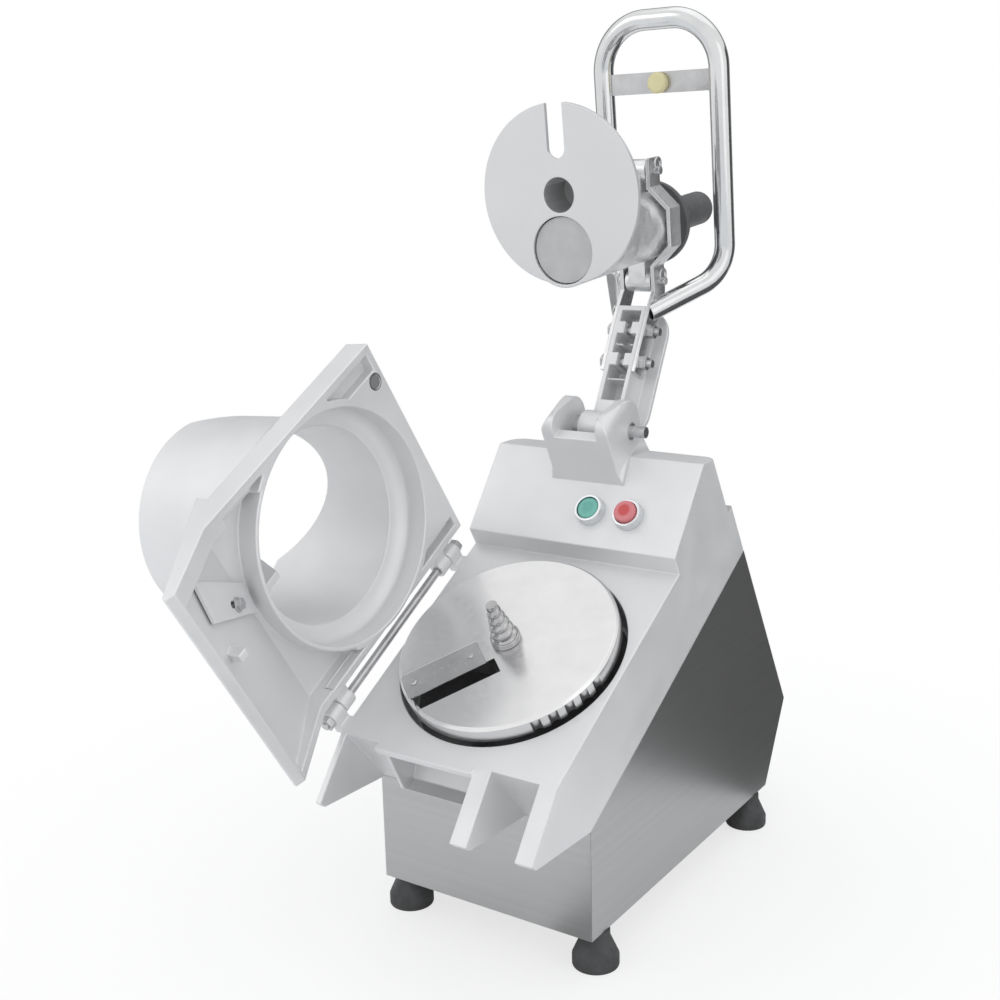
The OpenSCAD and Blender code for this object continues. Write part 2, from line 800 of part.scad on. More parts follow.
module at_blade_screws() {
    for (x = [-disc_r + 12, slot_x - 18])
        translate([x, slot_y + blade_w / 2, 0]) children();
}
module blade() {
    color("silver")
        on_disc()
            difference() {
                rotate([90, 0, 90])
                    translate([0, 0, -disc_r + 4])
                        linear_extrude(disc_r - 4 + slot_x - 8.5)
                            polygon([[slot_y - 3, 1.2], [slot_y + 6, -1], [slot_y + blade_w, -1],
                                [slot_y + blade_w, 0.4], [slot_y + 6, 1.2]]);
                at_blade_screws() cylinder(r = blade_screw_r, h = 20, center = true);
                difference() {
                    cylinder(r = far, h = 20, center = true);
                    cylinder(r = disc_r - 2, h = 30, center = true);
                }
            }
}
module blade_screws() {
    color("silver")
        on_disc() at_blade_screws() {
            translate([0, 0, 1.2]) cylinder(r1 = 3.6, r2 = 2.6, h = 1.4);
            translate([0, 0, -disc_t - 3]) cylinder(r = blade_screw_r, h = disc_t + 4.2);
        }
}

// Spiral hub screw: a tapering eccentric thread over a round foot with wrench flats on top
screw_tip = 0.5;
screw_turns = 3.5;
module hub_screw() {
    color("whitesmoke")
        on_deck() {
            cylinder(r = screw_r, h = 6);
            translate([0, 0, -disc_t]) cylinder(r = shaft_r, h = disc_t);
            translate([0, 0, 6])
                linear_extrude(screw_h - 12, twist = -360 * screw_turns, scale = screw_tip,
                    slices = 56, $fn = 28)
                    translate([screw_r * 0.18, 0]) circle(r = screw_r * 0.8);
            translate([0, 0, screw_h - 6.5]) cylinder(r = screw_r * screw_tip * 0.8, h = 6.5, $fn = 6);
        }
}

// Hopper casting: flange tray, chamber roof, feed tube with a scooped mouth, and the discharge hood
bowl_out = [for (a = [0 : 10 : 90])
    [tube_ro + (chamber_r + chamber_wall - tube_ro) * cos(a), chamber_top + 4 + (tube_foot + 6) * sin(a)]];
bowl_in = [for (a = [90 : -10 : 0])
    [tube_r + (chamber_r - tube_r) * cos(a), chamber_top + (tube_foot - chamber_top) * sin(a)]];
tube_out = concat([[0, seat], [chamber_r + chamber_wall, seat]], bowl_out,
    [[tube_ro, mouth_n], [0, mouth_n]]);
tube_in = concat([[0, mouth_n + 1], [tube_r, mouth_n + 1]], bowl_in, [[chamber_r, seat - 1], [0, seat - 1]]);
scoop_t = 28;
scoop_end = [tube_ro + 8, 70];
scoop = [[scoop_t, mouth_n + 1], scoop_end, scoop_end + [40, 0],
    [scoop_end[0] + 40, mouth_n + 40], [scoop_t, mouth_n + 40]];
hood_out = [[hood_back, hood_crest], [hood_tip, hood_roof(hood_tip)], [hood_tip - 2, hood_roof(hood_tip) - 5],
    [hood_tip + 6, hood_under(hood_tip + 6)], [lug_top[0], seat], [hood_back, seat]];
hood_in_t = -60;
hood_in = [[hood_in_t, seat - 40], [hood_in_t, flange_top - hood_wall],
    [8 - flange_front, flange_top - hood_wall],
    [-flange_front - 4, hood_roof(-flange_front - 4) - hood_wall],
    [hood_tip + 9, hood_roof(hood_tip + 9) - hood_wall - 1], [hood_tip + 9, hood_under(hood_tip) - 30]];
rim = 8;
pocket_d = 11;
fin_t = 8;
fin = [[-tube_r - 2, tube_foot + 4], [-tube_r + 26, tube_foot + 6], [-tube_r + 42, 60], [-tube_r + 42, 112],
    [-tube_r - 2, mouth_n - 14]];
latch_at = [lug_mid_x + 5, -flange_front - 23];
latch_rise = 8;
latch_t = 4;
latch_plan = [[flange_right - bar_w - latch_at[0] - 1, -33], [0, 28], [-29, 22], [19, -42]];
latch_bolt_r = 3;
latch_slot = 8;
latch_turn = 136;
latch_slope = atan(roof_slope);
latch_n = hood_under(latch_at[1]) + latch_rise;
latch_boss_h = (hood_roof(latch_at[1]) - latch_n) * cos(latch_slope) - latch_t - 1;
module at_latch() {
    translate([latch_at[0], latch_at[1], latch_n]) rotate([latch_slope, 0, 0]) children();
}
module hopper() {
    color("lightgray")
        on_hopper()
            difference() {
                union() {
                    hopper_shell();
                    prism(fin, -fin_t / 2, fin_t / 2);
                    at_latch() translate([0, 0, latch_t]) cylinder(r = 8, h = latch_boss_h);
                    prong();
                }
                at_latch() cylinder(r = latch_bolt_r, h = latch_t + 10);
            }
}
module hopper_shell() {
    difference() {
        union() {
            box([-flange_left, -flange_front, seat], [flange_right, flange_back, flange_top]);
            rotate_extrude() polygon(tube_out);
            prism(hood_out, -flange_left, flange_right);
            hopper_knuckle(hinge_hi);
            hopper_knuckle(hinge_lo);
        }
        rotate_extrude() polygon(tube_in);
        prism(scoop, -far, far);
        difference() {
            prism(hood_in, hood_side - flange_left, flange_right - bar_w);
            cylinder(r = chamber_r + chamber_wall, h = far, center = true);
        }
        translate([0, 0, seat - 1]) linear_extrude(pocket_d + 1) corner_pockets();
        translate([-hinge_x, 0, hinge_n]) rod_t(hinge_r + run_fit, -far, far);
        translate([magnet_x, magnet_t, seat - 1]) cylinder(r = magnet_r, h = magnet_h + 1);
    }
}
module hopper_knuckle(t0) {
    translate([-hinge_x, 0, hinge_n]) rod_t(knuckle_r, t0, t0 + hinge_len);
    box([-hinge_x, t0, hinge_n - 4], [1 - flange_left, t0 + hinge_len, hinge_n + knuckle_r]);
}
module corner_pockets() {
    difference() {
        for (x = [[rim - flange_left, -magnet_x - 12], [magnet_x + magnet_r + 3, flange_right - rim]],
            t = [[-flange_front + rim, -50], [50, flange_back - rim]])
            translate([x[0], t[0]]) square([x[1] - x[0], t[1] - t[0]]);
        circle(r = chamber_r + chamber_wall + 3);
    }
}
module prong() {
    prong_t = hood_tip + 22;
    prism([[prong_t, hood_under(prong_t) - 4], [prong_t + 10, hood_under(prong_t) - 4],
        [prong_t + 10, hood_roof(prong_t + 10) - 2], [prong_t, hood_roof(prong_t) - 2]],
        mouth_hi - 14, mouth_hi - 6);
}
module magnet() {
    color("#2b2b2b")
        on_hopper() translate([magnet_x, magnet_t, seat + 0.2]) cylinder(r = magnet_r, h = magnet_h - 0.2);
}
module latch_plate() {
    color("silver")
        on_hopper() at_latch()
            difference() {
                linear_extrude(latch_t) polygon(latch_plan);
                rotate(latch_turn) {
                    for (x = [-latch_slot, latch_slot])
                        translate([x, 0, 0]) cylinder(r = latch_bolt_r, h = 20, center = true);
                    box([-latch_slot, -latch_bolt_r, -1], [latch_slot, latch_bolt_r, latch_t + 1]);
                }
            }
}
module latch_bolt() {
    color("silver")
        on_hopper() at_latch() {
            translate([0, 0, -1.5]) cylinder(r = 6.5, h = 1.5);
            translate([0, 0, -5.5]) cylinder(r = 5.2, h = 4, $fn = 6);
            cylinder(r = latch_bolt_r, h = latch_t + 9);
        }
}

// Lever: cast beam with an open ribbed front and a broad back plate
module lever_arm() {
    color("lightgray")
        on_beam()
            difference() {
                union() {
                    rod_x(pivot_r + 9, -beam_w / 2, beam_w / 2);
                    box([-beam_w / 2, -beam_len, beam_front], [beam_w / 2, 0, beam_front + beam_depth]);
                    translate([0, 0, beam_front + beam_depth - 1]) {
                        box([-back_plate_w / 2, -beam_len + 21, 0],
                            [back_plate_w / 2, -back_plate_w / 2, back_plate_t]);
                        translate([0, -back_plate_w / 2, 0]) cylinder(r = back_plate_w / 2, h = back_plate_t);
                        translate([0, -beam_len + 21, 0]) cylinder(r = back_plate_w / 2, h = back_plate_t);
                    }
                }
                for (u = [[32, 54], [56, 68], [81, 90], [92, 101], [113.5, beam_len - 5]])
                    box([-beam_w / 2 + 4.5, -u[1], -far], [beam_w / 2 - 4.5, -u[0], beam_floor]);
                for (u = [55, 91])
                    box([-beam_w / 2 + 4.5, -u - 2, -far], [beam_w / 2 - 4.5, 2 - u, beam_front + 5]);
                box([-3.5, -beam_len + 5, -far], [3.5, -60, beam_floor]);
                rod_x(pivot_r + run_fit, -far, far);
                for (u = lever_bolt_u)
                    translate([0, -u, lever_bolt_v]) rod_x(lever_bolt_r, -far, far);
            }
}

// Two straps, bent out round the plunger sleeve, from the beam's sides to the front clevis pin
strap_half = sleeve_ro * 0.5;
strap_kick = strap_bulge - strap_in;
strap_nip = strap_t * tan(22.5);
strap_end = sleeve_p + pin_reach + 12;
strap_foot = sleeve_p - pin_reach - 12;
strap_plan = [[strap_in, strap_foot], [strap_in, sleeve_p - strap_half - strap_kick],
    [strap_bulge, sleeve_p - strap_half], [strap_bulge, sleeve_p + strap_half],
    [strap_in, sleeve_p + strap_half + strap_kick], [strap_in, strap_end],
    [strap_in + strap_t, strap_end], [strap_in + strap_t, sleeve_p + strap_half + strap_kick + strap_nip],
    [strap_bulge + strap_t, sleeve_p + strap_half + strap_nip],
    [strap_bulge + strap_t, sleeve_p - strap_half - strap_nip],
    [strap_in + strap_t, sleeve_p - strap_half - strap_kick - strap_nip], [strap_in + strap_t, strap_foot]];
strap_side = [uv(62, beam_front), uv(128, beam_front), [strap_foot + 4, strap_q], [strap_foot + 22, strap_q],
    [strap_foot + 22, strap_q + strap_w], [strap_foot, strap_q + strap_w], uv(62, beam_front + 22)];
module strap() {
    on_lever()
        difference() {
            union() {
                translate([0, 0, strap_q])
                    linear_extrude(strap_w) polygon([for (p = strap_plan) [p[0], -p[1]]]);
                lever_prism(strap_side, strap_in, strap_in + strap_t);
            }
            for (p = [-pin_reach, pin_reach])
                translate([0, -sleeve_p - p, pin_q]) rod_x(pin_r, -far, far);
            rotate([-beam_tilt, 0, 0])
                for (u = lever_bolt_u)
                    translate([0, -u, lever_bolt_v]) rod_x(lever_bolt_r, -far, far);
        }
}
module right_strap() {
    color("silver") strap();
}
module left_strap() {
    color("silver") mirror([1, 0, 0]) strap();
}
strap_out = strap_in + strap_t;
module lever_bolts() {
    color("silver")
        on_beam()
            for (u = lever_bolt_u)
                translate([0, -u, lever_bolt_v]) {
                    rod_x(lever_bolt_r, -strap_out, strap_out + 12);
                    hex_x(7, -strap_out - 5.5, -strap_out);
                }
}
module lever_nuts() {
    color("silver")
        on_beam()
            for (u = lever_bolt_u)
                translate([0, -u, lever_bolt_v])
                    difference() {
                        hex_x(7, strap_out, strap_out + 6.5);
                        rod_x(lever_bolt_r, -far, far);
                    }
}
module at_pins() {
    on_lever()
        for (p = [-pin_reach, pin_reach])
            translate([0, -sleeve_p - p, pin_q]) children();
}
ring_x = strap_out + 4;
ring_r = 6;
ring_wire = 1.1;
module clevis_ring(wire) {
    translate([ring_x, -ring_r, 0]) rotate([0, 90, 0])
        rotate_extrude() translate([ring_r, 0]) circle(r = wire, $fn = 24);
}
module clevis_pins() {
    color("silver")
        at_pins()
            difference() {
                union() {
                    rod_x(pin_r, -strap_out, strap_out + 7);
                    rod_x(pin_r + 3, -strap_out - 4, -strap_out);
                }
                clevis_ring(ring_wire + 0.15);
            }
}
module split_rings() {
    color("silver") at_pins() clevis_ring(ring_wire);
}

// Pusher casting: slotted plate, plunger sleeve, hub pocket and two clevis lugs
lug_boss_r = 11;
pocket_top = screw_h - pivot_n + 5;
slot_deep = 48;
slot_end = plate_r - slot_deep;
module pusher() {
    color("gainsboro")
        on_lever()
            difference() {
                union() {
                    translate([0, -plate_p, plate_q]) cylinder(r = plate_r, h = plate_t);
                    translate([0, -sleeve_p, plate_q]) cylinder(r = sleeve_ro, h = sleeve_top - plate_q);
                    translate([0, -plate_p, plate_q])
                        cylinder(r = pocket_r + 4, h = pocket_top + 5 - plate_q);
                    for (s = [-1, 1]) {
                        translate([0, -sleeve_p - s * pin_reach, pin_q])
                            rod_x(lug_boss_r, 1 - strap_in, strap_in - 1);
                        box([-9, -sleeve_p - max(s, 0) * pin_reach, pin_q - lug_boss_r],
                            [9, -sleeve_p - min(s, 0) * pin_reach, pin_q + lug_boss_r]);
                    }
                    both_sides()
                        prism([[-plate_p - 20, plate_q], [-sleeve_p, plate_q], [-sleeve_p, 70],
                            [-sleeve_p - 22, 60]], sleeve_r - 3, sleeve_r + 3);
                    lever_prism([[sleeve_p, plate_q], [plate_p + 30, plate_q], [plate_p + 14, pocket_top],
                        [sleeve_p + pin_reach + 4, pin_q - 6], [sleeve_p, pin_q]], -4, 4);
                }
                translate([0, -sleeve_p, 0]) cylinder(r = sleeve_r, h = far, center = true);
                translate([0, -plate_p, plate_q - 1]) cylinder(r = pocket_r, h = pocket_top - plate_q + 1);
                translate([0, -plate_p - slot_end - plate_slot / 2, plate_q - 1]) {
                    cylinder(r = plate_slot / 2, h = far);
                    translate([-plate_slot / 2, -far, 0]) cube([plate_slot, far, far]);
                }
                for (s = [-1, 1])
                    translate([0, -sleeve_p - s * pin_reach, pin_q]) rod_x(pin_r, -far, far);
            }
}

// Bent tube handle: bow, two legs and two feet that run in to the straps
bow_bend = 30;
foot_bend = 40;
leg_p = 123;
end_p = 96;
end_q = 83;
foot_in = [handle_w / 2 - strap_in, leg_p - end_p, handle_q - end_q];
foot_roll = atan2(foot_in[2], foot_in[0]);
foot_turn = atan2(norm([foot_in[0], foot_in[2]]), foot_in[1]);
foot_cut = foot_bend * tan(foot_turn / 2);
// Straight lengths run a little into the bends and are a hair slimmer than them
bend_lap = 1;
bend_step = 0.05;
module pipe_t(r, t0, t1) {
    rod_t(r - bend_step, t0, t1);
}
module pipe_bend(r, bend, angle) {
    rotate_extrude(angle = angle) translate([bend, 0]) circle(r = r);
}
module handle_path(r) {
    bow_y = -handle_p;
    bow_half = handle_w / 2 - bow_bend;
    translate([0, 0, handle_q]) {
        translate([0, bow_y, 0]) rotate(-90) pipe_t(r, -bow_half - bend_lap, bow_half + bend_lap);
        both_sides() {
            translate([bow_half, bow_y + bow_bend, 0]) rotate(-90) pipe_bend(r, bow_bend, 90);
            translate([handle_w / 2, 0, 0]) {
                pipe_t(r, bow_y + bow_bend - bend_lap, -leg_p - foot_cut + bend_lap);
                translate([0, -leg_p, 0]) rotate([0, -foot_roll, 0]) {
                    translate([-foot_bend, -foot_cut, 0]) pipe_bend(r, foot_bend, foot_turn);
                    rotate(foot_turn) pipe_t(r, foot_cut - bend_lap, norm(foot_in));
                }
            }
        }
    }
}
module handle() {
    color("gainsboro")
        on_lever()
            difference() {
                handle_path(handle_r);
                handle_path(handle_r - handle_wall);
                box([-strap_out, -leg_p, -far], [strap_out, 0, far]);
            }
}
bar_p = handle_p - 59;
bar_h = 20;
bar_t = 5;
bar_half = handle_w / 2 - handle_r;
module crossbar() {
    color("gray")
        on_lever()
            difference() {
                box([-bar_half - 2, -bar_p - bar_h / 2, handle_q - bar_t / 2],
                    [bar_half + 2, -bar_p + bar_h / 2, handle_q + bar_t / 2]);
                handle_path(handle_r);
                translate([0, -bar_p, 0]) cylinder(r = 3, h = far);
            }
}
bumper_r = 10;
bumper_h = 8;
module bumper() {
    color("khaki")
        on_lever() translate([0, -bar_p, handle_q - bar_t / 2]) {
            rotate([180, 0, 0]) rotate_extrude()
                polygon([[0, 0], [bumper_r, 0], [bumper_r, bumper_h - 2], [bumper_r - 2, bumper_h],
                    [0, bumper_h]]);
            cylinder(r = 3, h = bar_t);
        }
}

// Plunger: long smooth body, broad flange that stops on the sleeve, round grip
plunger_sink = 3;
flange_t = 9;
stop_r = sleeve_ro + 7.5;
module plunger() {
    color("dimgray")
        on_lever() translate([0, -sleeve_p, 0])
            rotate_extrude()
                polygon([[0, plate_q + plunger_sink], [sleeve_r - move_gap, plate_q + plunger_sink],
                    [sleeve_r - move_gap, sleeve_top + move_gap], [stop_r, sleeve_top + move_gap],
                    [stop_r, sleeve_top + flange_t - 2], [stop_r - 2, sleeve_top + flange_t],
                    [grip_r + 4, sleeve_top + flange_t + 5], [grip_r, sleeve_top + flange_t + 12],
                    [grip_r, sleeve_top + flange_t + grip_len - 4],
                    [grip_r - 4, sleeve_top + flange_t + grip_len], [0, sleeve_top + flange_t + grip_len]]);
}

cabinet();
rear_cover();
base_plate();
rear_screws();
feet();
foot_bolts();
cable_gland();
top_casting();
pivot_pin();
pivot_nut();
pivot_spacers();
hinge_rod();
hinge_nuts();
button_bezels();
contact_blocks();
start_button();
stop_button();
reed_switch();
bearings();
shaft_seal();
drive_shaft();
large_pulley();
drive_belt();
motor_pulley();
motor();
motor_plate();
motor_posts();
ejector();
cutting_disc();
blade();
blade_screws();
hub_screw();
hopper();
magnet();
latch_plate();
latch_bolt();
lever_arm();
left_strap();
right_strap();
lever_bolts();
lever_nuts();
clevis_pins();
split_rings();
pusher();
handle();
crossbar();
bumper();
plunger();
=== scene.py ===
import json
import math

import bmesh
import bpy
from mathutils import Matrix, Vector

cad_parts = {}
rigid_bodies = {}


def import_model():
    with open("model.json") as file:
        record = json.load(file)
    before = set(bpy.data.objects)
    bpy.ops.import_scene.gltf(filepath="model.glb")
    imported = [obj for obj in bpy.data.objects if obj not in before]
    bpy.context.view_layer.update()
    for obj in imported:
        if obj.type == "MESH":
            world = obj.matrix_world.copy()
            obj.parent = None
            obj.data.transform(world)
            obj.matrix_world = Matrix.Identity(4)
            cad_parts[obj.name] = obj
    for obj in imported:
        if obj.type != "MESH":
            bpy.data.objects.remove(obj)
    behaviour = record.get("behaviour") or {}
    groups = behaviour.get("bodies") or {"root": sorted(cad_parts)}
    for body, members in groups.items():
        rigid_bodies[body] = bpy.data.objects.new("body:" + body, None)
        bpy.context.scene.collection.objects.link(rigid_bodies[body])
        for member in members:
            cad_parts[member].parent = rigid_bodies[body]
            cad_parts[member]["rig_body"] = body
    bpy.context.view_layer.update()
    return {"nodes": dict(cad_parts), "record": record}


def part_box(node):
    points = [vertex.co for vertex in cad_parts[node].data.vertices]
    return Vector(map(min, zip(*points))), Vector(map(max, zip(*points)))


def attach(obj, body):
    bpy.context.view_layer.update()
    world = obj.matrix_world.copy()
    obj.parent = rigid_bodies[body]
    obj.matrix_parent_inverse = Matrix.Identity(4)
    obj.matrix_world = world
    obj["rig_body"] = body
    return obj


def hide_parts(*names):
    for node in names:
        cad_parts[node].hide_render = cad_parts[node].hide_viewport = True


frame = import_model()

# Camera: a little above the machine, in front of its right-hand corner, looking down at the deck.
# A normal lens on a square picture, with a slight roll.
scene = bpy.context.scene
camera_place = Vector((0.65751, -1.09876, 0.67889))
camera_yaw = 0.601
camera_pitch = 0.2323
camera_roll = -0.026
camera_lens = 49.72
look = Vector((-math.sin(camera_yaw) * math.cos(camera_pitch),
               math.cos(camera_yaw) * math.cos(camera_pitch), -math.sin(camera_pitch)))
level_right = look.cross(Vector((0, 0, 1))).normalized()
level_up = level_right.cross(look)
right = math.cos(camera_roll) * level_right + math.sin(camera_roll) * level_up
up = math.cos(camera_roll) * level_up - math.sin(camera_roll) * level_right
camera_data = bpy.data.cameras.new("camera")
camera_data.lens = camera_lens
camera_data.sensor_width = 36
camera = bpy.data.objects.new("camera", camera_data)
camera.matrix_world = Matrix.Translation(camera_place) @ Matrix((right, up, -look)).transposed().to_4x4()
scene.collection.objects.link(camera)
scene.camera = camera

# Studio: a white sweep lit by a large soft box at the left, a weaker one at the right and one overhead.
# The floor is pale paper that keeps the machine's soft shadow and fades to white further off.
# Black and grey flags, seen only in reflections, give the steel panels and the chrome their darker tones.
scene.view_settings.view_transform = "Standard"


def studio_world():
    world = bpy.data.worlds.new("studio")
    world.use_nodes = True
    tree = world.node_tree
    tree.nodes.clear()
    ray = tree.nodes.new("ShaderNodeLightPath")
    seen = tree.nodes.new("ShaderNodeMath")
    seen.operation = "MAXIMUM"
    clear = tree.nodes.new("ShaderNodeMath")
    clear.operation = "MAXIMUM"
    tree.links.new(ray.outputs["Is Camera Ray"], seen.inputs[0])
    tree.links.new(ray.outputs["Is Glossy Ray"], seen.inputs[1])
    tree.links.new(seen.outputs[0], clear.inputs[0])
    tree.links.new(ray.outputs["Is Transmission Ray"], clear.inputs[1])
    room = tree.nodes.new("ShaderNodeBackground")
    room.inputs["Color"].default_value = (0.96, 0.98, 1.0, 1)
    room.inputs["Strength"].default_value = 1.02
    white = tree.nodes.new("ShaderNodeBackground")
    white.inputs["Color"].default_value = (1, 1, 1, 1)
    white.inputs["Strength"].default_value = 1.0
    mix = tree.nodes.new("ShaderNodeMixShader")
    out = tree.nodes.new("ShaderNodeOutputWorld")
    tree.links.new(clear.outputs[0], mix.inputs[0])
    tree.links.new(room.outputs[0], mix.inputs[1])
    tree.links.new(white.outputs[0], mix.inputs[2])
    tree.links.new(mix.outputs[0], out.inputs["Surface"])
    scene.world = world


def soft_box(name, place, target, size, watts):
    light = bpy.data.lights.new(name, "AREA")
    light.shape = "RECTANGLE"
    light.size, light.size_y = size
    light.energy = watts
    lamp = bpy.data.objects.new(name, light)
    aim = Vector(target) - Vector(place)
    lamp.matrix_world = Matrix.Translation(place) @ aim.to_track_quat("-Z", "Y").to_matrix().to_4x4()
    scene.collection.objects.link(lamp)


def paper_material():
    paper = bpy.data.materials.new("sweep_paper")
    paper.use_nodes = True
    tree = paper.node_tree
    tree.nodes.clear()
    ray = tree.nodes.new("ShaderNodeLightPath")
    place = tree.nodes.new("ShaderNodeTexCoord")
    away = tree.nodes.new("ShaderNodeVectorMath")
    away.operation = "LENGTH"
    tree.links.new(place.outputs["Object"], away.inputs[0])
    fade = tree.nodes.new("ShaderNodeMapRange")
    fade.inputs["From Min"].default_value = 0.25
    fade.inputs["From Max"].default_value = 0.8
    fade.inputs["To Min"].default_value = 0.7
    fade.inputs["To Max"].default_value = 1.0
    tree.links.new(away.outputs["Value"], fade.inputs["Value"])
    share = tree.nodes.new("ShaderNodeMath")
    share.operation = "MULTIPLY"
    tree.links.new(fade.outputs["Result"], share.inputs[1])
    tree.links.new(ray.outputs["Is Camera Ray"], share.inputs[0])
    matt = tree.nodes.new("ShaderNodeBsdfDiffuse")
    matt.inputs["Color"].default_value = (0.88, 0.88, 0.88, 1)
    glow = tree.nodes.new("ShaderNodeEmission")
    mix = tree.nodes.new("ShaderNodeMixShader")
    out = tree.nodes.new("ShaderNodeOutputMaterial")
    tree.links.new(share.outputs[0], mix.inputs[0])
    tree.links.new(matt.outputs[0], mix.inputs[1])
    tree.links.new(glow.outputs[0], mix.inputs[2])
    tree.links.new(mix.outputs[0], out.inputs["Surface"])
    return paper


def flag_cloth(name, grey):
    cloth = bpy.data.materials.new(name)
    cloth.use_nodes = True
    shader = cloth.node_tree.nodes["Principled BSDF"]
    shader.inputs["Base Color"].default_value = (grey, grey, grey, 1)
    shader.inputs["Roughness"].default_value = 1
    return cloth


def stage_sheet(name, corners, material):
    mesh = bpy.data.meshes.new(name)
    mesh.from_pydata(corners, [], [(0, 1, 2, 3)])
    mesh.materials.append(material)
    sheet = bpy.data.objects.new(name, mesh)
    scene.collection.objects.link(sheet)
    return sheet


studio_world()
machine_middle = (0, 0, 0.35)
soft_box("key_box", (-1.3, -1.5, 1.7), machine_middle, size=(1.2, 1.2), watts=2.8)
soft_box("fill_box", (1.7, -0.7, 1.0), machine_middle, size=(1.0, 1.4), watts=1.2)
soft_box("top_box", (0.1, 0.3, 2.1), machine_middle, size=(1.4, 1.4), watts=2)
stage_sheet("floor", [(-4, -4, 0), (4, -4, 0), (4, 4, 0), (-4, 4, 0)], paper_material())
black_cloth = flag_cloth("black_cloth", 0.09)
grey_cloth = flag_cloth("grey_cloth", 0.35)
flag_z = 0.01
flags = {
    "floor_flag": (black_cloth, [(0.13, 0.2, flag_z), (1.6, 0.15, flag_z), (1.6, 1.8, flag_z),
                                 (0.13, 1.8, flag_z)]),
    "back_flag": (black_cloth, [(0.3, 2.2, 0), (2.0, 1.2, 0), (2.0, 1.2, 1.6), (0.3, 2.2, 1.6)]),
    "front_flag": (grey_cloth, [(0.05, -0.7, flag_z), (0.5, -0.7, flag_z), (0.5, -0.2, flag_z),
                                (0.05, -0.2, flag_z)]),
    "grey_screen": (grey_cloth, [(-2.6, 0.3, 0), (1.4, 2.5, 0), (1.4, 2.5, 2.2), (-2.6, 0.3, 2.2)]),
}
for name, (cloth, corners) in flags.items():
    flag = stage_sheet(name, corners, cloth)
    flag.visible_camera = False
    flag.visible_diffuse = False
    flag.visible_shadow = False

# Feet: four turned rubber pads, each with a steel stud moulded into its top.
# Matt black rubber with dusty patches.
nodes = frame["nodes"]
noise_low, noise_high = 0.3, 0.7
crease = math.radians(38)


def surface(name, metallic, base):
    material = bpy.data.materials.new(name)
    material.use_nodes = True
    tree = material.node_tree
    shader = tree.nodes["Principled BSDF"]
    shader.inputs["Metallic"].default_value = metallic
    shader.inputs["Base Color"].default_value = (*base, 1)
    place = tree.nodes.new("ShaderNodeTexCoord")
    return material, tree, shader, place.outputs["Object"]


def speckle(tree, place, scale, detail=3.0, stretch=None):
    if stretch is not None:
        turn = tree.nodes.new("ShaderNodeMapping")
        turn.inputs["Scale"].default_value = stretch
        tree.links.new(place, turn.inputs["Vector"])
        place = turn.outputs["Vector"]
    noise = tree.nodes.new("ShaderNodeTexNoise")
    noise.inputs["Scale"].default_value = scale
    noise.inputs["Detail"].default_value = detail
    tree.links.new(place, noise.inputs["Vector"])
    return noise.outputs["Fac"]


def shine(tree, value, smooth, rough, shader):
    scale = tree.nodes.new("ShaderNodeMapRange")
    scale.inputs["From Min"].default_value = noise_low
    scale.inputs["From Max"].default_value = noise_high
    scale.inputs["To Min"].default_value = smooth
    scale.inputs["To Max"].default_value = rough
    tree.links.new(value, scale.inputs["Value"])
    tree.links.new(scale.outputs["Result"], shader.inputs["Roughness"])


def tint(tree, value, dark, pale, shader):
    ramp = tree.nodes.new("ShaderNodeValToRGB")
    ramp.color_ramp.elements[0].position = noise_low
    ramp.color_ramp.elements[0].color = (*dark, 1)
    ramp.color_ramp.elements[1].position = noise_high
    ramp.color_ramp.elements[1].color = (*pale, 1)
    tree.links.new(value, ramp.inputs["Fac"])
    tree.links.new(ramp.outputs["Color"], shader.inputs["Base Color"])


def bump(tree, height, strength, depth, shader):
    relief = tree.nodes.new("ShaderNodeBump")
    relief.inputs["Strength"].default_value = strength
    relief.inputs["Distance"].default_value = depth
    tree.links.new(height, relief.inputs["Height"])
    tree.links.new(relief.outputs["Normal"], shader.inputs["Normal"])


def smooth_shaded(mesh, angle):
    mesh.polygons.foreach_set("use_smooth", [True] * len(mesh.polygons))
    mesh.set_sharp_from_angle(angle=angle)


def made_piece(name, bm, angle, material):
    mesh = bpy.data.meshes.new(name)
    bm.to_mesh(mesh)
    bm.free()
    smooth_shaded(mesh, angle)
    mesh.materials.append(material)
    piece = bpy.data.objects.new(name, mesh)
    scene.collection.objects.link(piece)
    return piece


def rounded(name, width, material, segments=2, sharp=()):
    """A copy of a node, in its place, with its edges rounded except near the sharp spots."""
    merge_dist, flat_angle, edge_angle = 2e-6, math.radians(0.3), math.radians(25)
    bm = bmesh.new()
    bm.from_mesh(nodes[name].data)
    bmesh.ops.remove_doubles(bm, verts=bm.verts, dist=merge_dist)
    bmesh.ops.dissolve_limit(bm, angle_limit=flat_angle, verts=bm.verts, edges=bm.edges)
    edges = [edge for edge in bm.edges if edge.is_manifold and edge.calc_face_angle() > edge_angle]
    for spot, reach in sharp:
        edges = [edge for edge in edges
                 if ((edge.verts[0].co + edge.verts[1].co) / 2 - Vector(spot)).length > reach]
    if width:
        bmesh.ops.bevel(bm, geom=edges, offset=width, offset_type="OFFSET", affect="EDGES",
                        segments=segments, profile=0.5, material=-1, loop_slide=True)
    bmesh.ops.triangulate(bm, faces=[face for face in bm.faces if len(face.verts) > 4])
    piece = made_piece(name + ".rounded", bm, crease, material)
    weigh = piece.modifiers.new("flat_faces", "WEIGHTED_NORMAL")
    weigh.keep_sharp = True
    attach(piece, nodes[name]["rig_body"])
    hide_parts(name)
    return piece


def rubber_material(name, dark, pale, smooth=0.55, rough=0.75):
    dust, sheen, grain = 60, 220, 900
    material, tree, shader, place = surface(name, 0, dark)
    tint(tree, speckle(tree, place, dust), dark, pale, shader)
    shine(tree, speckle(tree, place, sheen), smooth, rough, shader)
    bump(tree, speckle(tree, place, grain), 0.15, 0.0003, shader)
    return material


